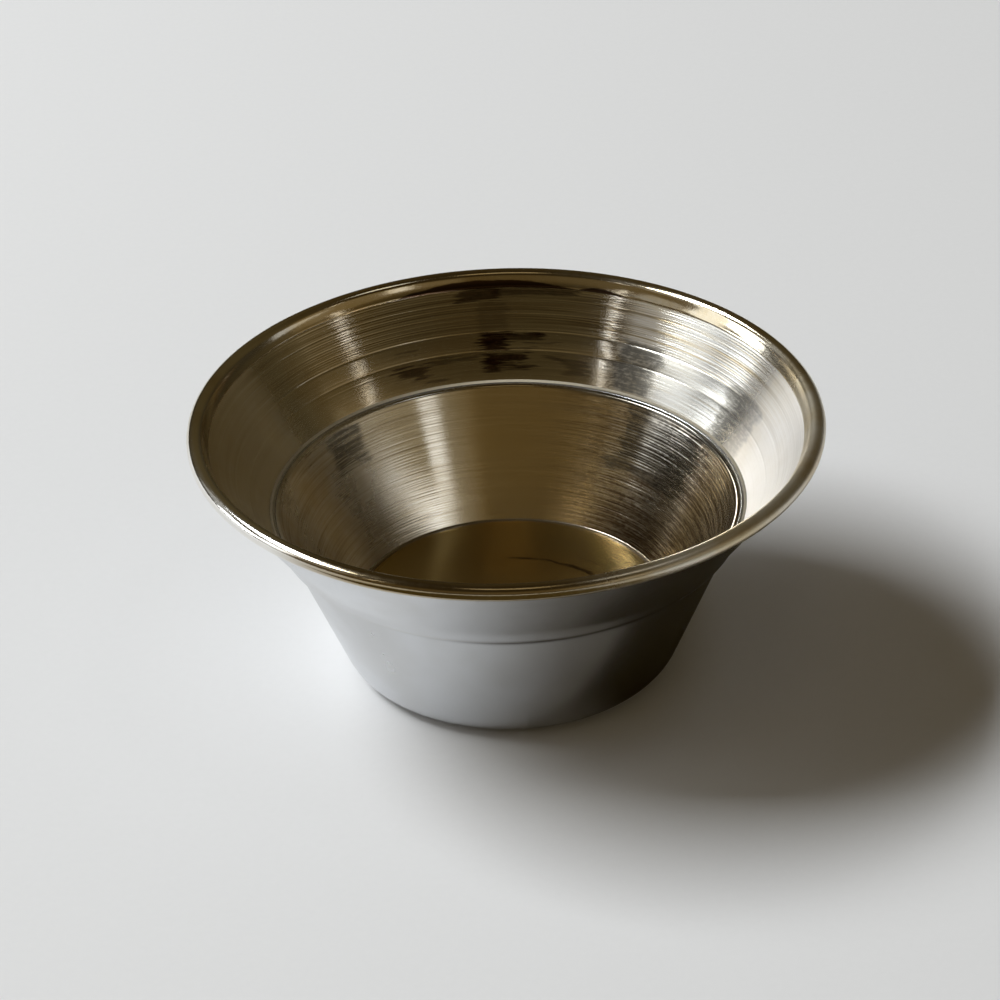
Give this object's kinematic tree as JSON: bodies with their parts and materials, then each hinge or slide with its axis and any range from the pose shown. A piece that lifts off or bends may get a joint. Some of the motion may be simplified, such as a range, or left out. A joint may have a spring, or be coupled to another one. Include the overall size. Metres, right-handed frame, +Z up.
{
  "type": "offering bowl",
  "caption": "Small flared metal offering bowl with a rolled lip, turned walls with a ledge at the waist, a raised flat floor and a ring foot.",
  "frame": {"origin": "on the table, under the middle of the foot", "axes": "+Z up along the bowl's axis, out of its mouth"},
  "size_m": [0.085, 0.085, 0.0368],
  "materials": {
    "satin_silver": "smooth satin silver, faint vertical handling marks",
    "turned_silver": "silver with fine concentric turning lines and warm tarnish",
    "floor_silver": "smooth satin silver, warm tarnish, fine scratches",
    "polished_silver": "polished silver with light tarnish",
    "solder": "bright solder",
    "wire": "bare drawn wire"
  },
  "bodies": {
    "root": {"base_cup": "satin_silver", "inner_cup": "turned_silver", "floor_disc": "floor_silver", "floor_solder": "solder", "flared_collar": "turned_silver", "waist_solder": "solder", "rim_lip": "polished_silver", "rim_wire": "wire", "rim_solder": "solder"}
  },
  "joints": []
}
